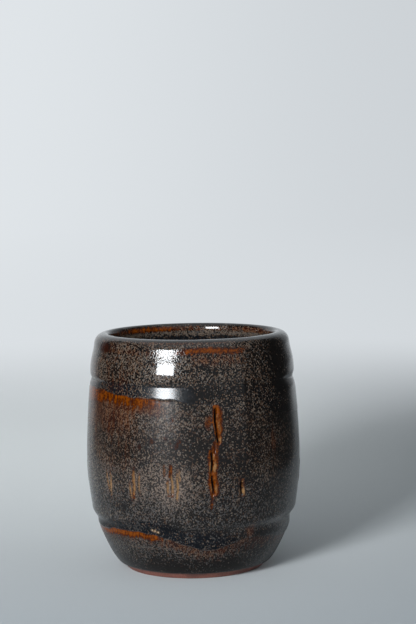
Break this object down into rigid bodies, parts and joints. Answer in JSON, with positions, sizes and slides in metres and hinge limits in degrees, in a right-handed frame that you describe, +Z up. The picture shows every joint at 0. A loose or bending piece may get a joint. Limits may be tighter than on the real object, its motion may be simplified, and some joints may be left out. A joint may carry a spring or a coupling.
{
  "type": "cup",
  "caption": "Handleless barrel-shaped stoneware cup with a rounded lip, a turned groove, slits cut in its belly, a stepped waist and a dark speckled iron glaze.",
  "frame": {"origin": "middle of the foot, on the surface the cup stands on", "axes": "+Z up along the axis the cup was turned on, -Y towards the front with the column of deep slits, +X to the right of it"},
  "size_m": [0.08, 0.08, 0.0882],
  "materials": {
    "stoneware": "bare fired stoneware, matt reddish brown",
    "rim_glaze": "glossy dark iron glaze, densely speckled",
    "belly_glaze": "glossy dark iron glaze, speckled, breaking amber at edges and slits",
    "foot_glaze": "satin brown-black iron glaze, speckled",
    "liner_glaze": "glossy blue-black iron glaze"
  },
  "bodies": {
    "root": {"clay_body": "stoneware", "rim_glaze": "rim_glaze", "belly_glaze": "belly_glaze", "foot_glaze": "foot_glaze", "liner_glaze": "liner_glaze"}
  },
  "joints": []
}
